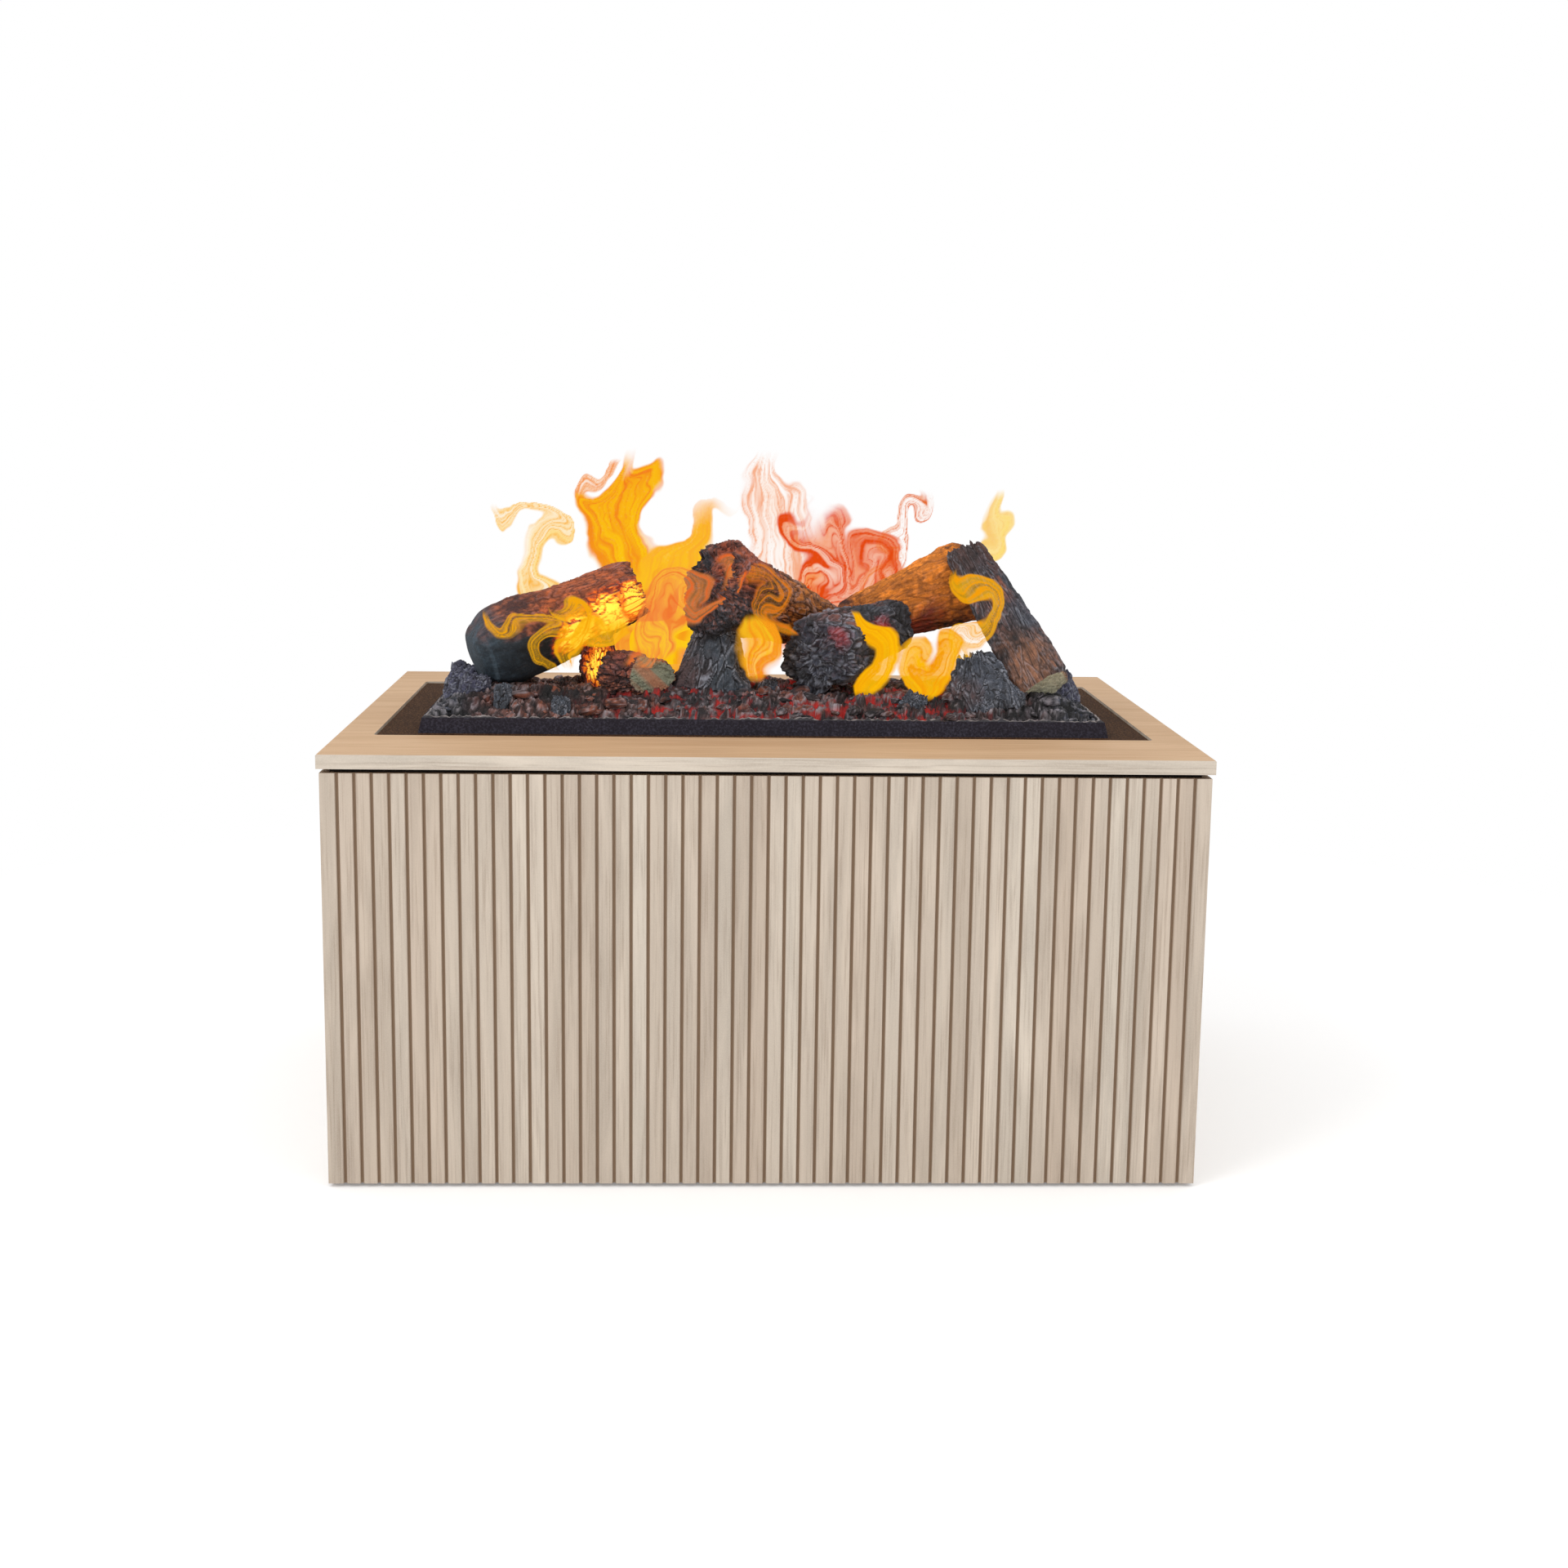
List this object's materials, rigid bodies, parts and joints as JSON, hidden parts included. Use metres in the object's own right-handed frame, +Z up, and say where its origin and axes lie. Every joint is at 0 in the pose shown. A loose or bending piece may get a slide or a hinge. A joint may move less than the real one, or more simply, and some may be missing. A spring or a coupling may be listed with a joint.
{
  "type": "water vapour electric fireplace",
  "caption": "Free-standing fluted cabinet with a water vapour burner, a lift-off bed of moulded logs and embers, and tongues of lit mist; a door at the back opens to the tank and controls",
  "frame": {"origin": "on the floor, under the middle of the cabinet", "axes": "+X to the right seen from the front, +Y from front to back, +Z up"},
  "size_m": [1, 0.75, 0.826],
  "materials": {
    "oak_top": "oak-grained board with a matt lacquer",
    "oak_flutes": "fluted oak-grained board, matt",
    "oak_back": "plain oak-grained board, matt",
    "inner_board": "raw particle board and softwood",
    "black_rail": "black-stained strip",
    "glide_plastic": "black felt-faced plastic",
    "screw_steel": "zinc-plated steel",
    "black_plastic": "fine textured black plastic",
    "pin_brass": "bright nickelled brass",
    "plate_black": "dark brown-black speckled powder coat",
    "tub_steel": "galvanised sheet",
    "basin_plastic": "moulded black plastic",
    "disc_steel": "stainless disc in a rim",
    "lamp_glow": "warm diffused lamp cover",
    "fan_plastic": "black fan plastic",
    "tank_plastic": "milky tank plastic",
    "float_plastic": "orange float plastic",
    "tap_brass": "turned brass, satin",
    "box_plastic": "dark grey textured plastic",
    "key_plastic": "soft grey plastic",
    "tray_black": "rough black-blue coat",
    "ember_crust": "rough painted embers, dark brown to rust, glowing in places",
    "log_char": "moulded and painted charred bark, dry-brushed",
    "log_cut": "moulded and painted charred bark with a pale cut end",
    "flame_back": "lit vapour, yellow to orange",
    "flame_front": "lit vapour, bright yellow"
  },
  "bodies": {
    "cabinet": {"top_frame": "oak_top", "shadow_gap_rails": "black_rail", "front_panel": "oak_flutes", "left_side_panel": "oak_flutes", "right_side_panel": "oak_flutes", "rear_panel": "oak_back", "base_board": "inner_board", "cassette_rails": "inner_board", "corner_posts": "inner_board", "glides": "glide_plastic", "panel_screws": "screw_steel", "vent_grille": "black_plastic", "inlet_plate": "black_plastic", "inlet_pins": "pin_brass", "door_pivots": "screw_steel", "magnet_catch": "black_plastic", "cover_plate": "plate_black", "lid_hinge": "plate_black", "cassette_tub": "tub_steel", "sump_basin": "basin_plastic", "mist_hood": "basin_plastic", "mist_transducers": "disc_steel", "light_bars": "lamp_glow", "fan_housings": "fan_plastic", "water_tank": "tank_plastic", "filler_neck": "basin_plastic", "feed_pipe": "tank_plastic", "float_guide": "tank_plastic", "tap_body": "tap_brass", "control_box": "box_plastic"},
    "door": {"service_door": "oak_back", "strike_plate": "screw_steel"},
    "lid": {"fill_lid": "plate_black"},
    "left_fan": {"fan_impeller_left": "fan_plastic"},
    "right_fan": {"fan_impeller_right": "fan_plastic"},
    "rocker": {"power_rocker": "black_plastic"},
    "raise_key": {"raise_button": "key_plastic"},
    "lower_key": {"lower_button": "key_plastic"},
    "light_key": {"light_button": "key_plastic"},
    "knob": {"flame_knob": "key_plastic"},
    "water_float": {"level_float": "float_plastic"},
    "drain_lever": {"tap_lever": "tap_brass"},
    "fuel_bed": {"log_tray": "tray_black", "ember_bed": "ember_crust", "ember_rubble": "ember_crust", "small_stubs": "log_char", "log_left": "log_char", "prop_left": "log_char", "chunk_cut": "log_cut", "stump_centre": "log_char", "log_centre": "log_char", "log_charred": "log_char", "plank_back": "log_char", "log_right": "log_char", "stump_right": "log_char", "flames_back": "flame_back", "flames_front": "flame_front"}
  },
  "joints": [
    {"name": "door_hinge", "type": "hinge", "parent": "cabinet", "child": "door", "pos_m": [0.25, 0.364, 0.05], "axis": [0, 0, -1], "range_deg": [0, 95]},
    {"name": "lid_hinge_turn", "type": "hinge", "parent": "cabinet", "child": "lid", "pos_m": [0, 0.2255, 0.5008], "axis": [-1, 0, 0], "range_deg": [0, 95]},
    {"name": "fuel_bed_lift", "type": "slide", "parent": "cabinet", "child": "fuel_bed", "axis": [0, 0, 1], "range_m": [0, 0.25]},
    {"name": "left_fan_spin", "type": "hinge", "parent": "cabinet", "child": "left_fan", "pos_m": [-0.345, -0.05, 0.3455], "axis": [1, 0, 0], "continuous": true},
    {"name": "right_fan_spin", "type": "hinge", "parent": "cabinet", "child": "right_fan", "pos_m": [0.345, -0.05, 0.3455], "axis": [1, 0, 0], "continuous": true},
    {"name": "rocker_tip", "type": "hinge", "parent": "cabinet", "child": "rocker", "pos_m": [0.4, 0.36891, 0.112], "axis": [1, 0, 0], "range_deg": [0, 14]},
    {"name": "raise_press", "type": "slide", "parent": "cabinet", "child": "raise_key", "axis": [0, -1, 0], "range_m": [0, 0.0015], "stiffness_N_per_m": 300},
    {"name": "lower_press", "type": "slide", "parent": "cabinet", "child": "lower_key", "axis": [0, -1, 0], "range_m": [0, 0.0015], "stiffness_N_per_m": 300},
    {"name": "light_press", "type": "slide", "parent": "cabinet", "child": "light_key", "axis": [0, -1, 0], "range_m": [0, 0.0015], "stiffness_N_per_m": 300},
    {"name": "knob_turn", "type": "hinge", "parent": "cabinet", "child": "knob", "pos_m": [0.2, 0.273, 0.336], "axis": [0, -1, 0], "range_deg": [0, 270]},
    {"name": "float_slide", "type": "slide", "parent": "cabinet", "child": "water_float", "axis": [0, 0, 1], "range_m": [0, 0.12]},
    {"name": "tap_turn", "type": "hinge", "parent": "cabinet", "child": "drain_lever", "pos_m": [-0.15, 0.253, 0.2995], "axis": [0, 0, 1], "range_deg": [0, 90]}
  ]
}
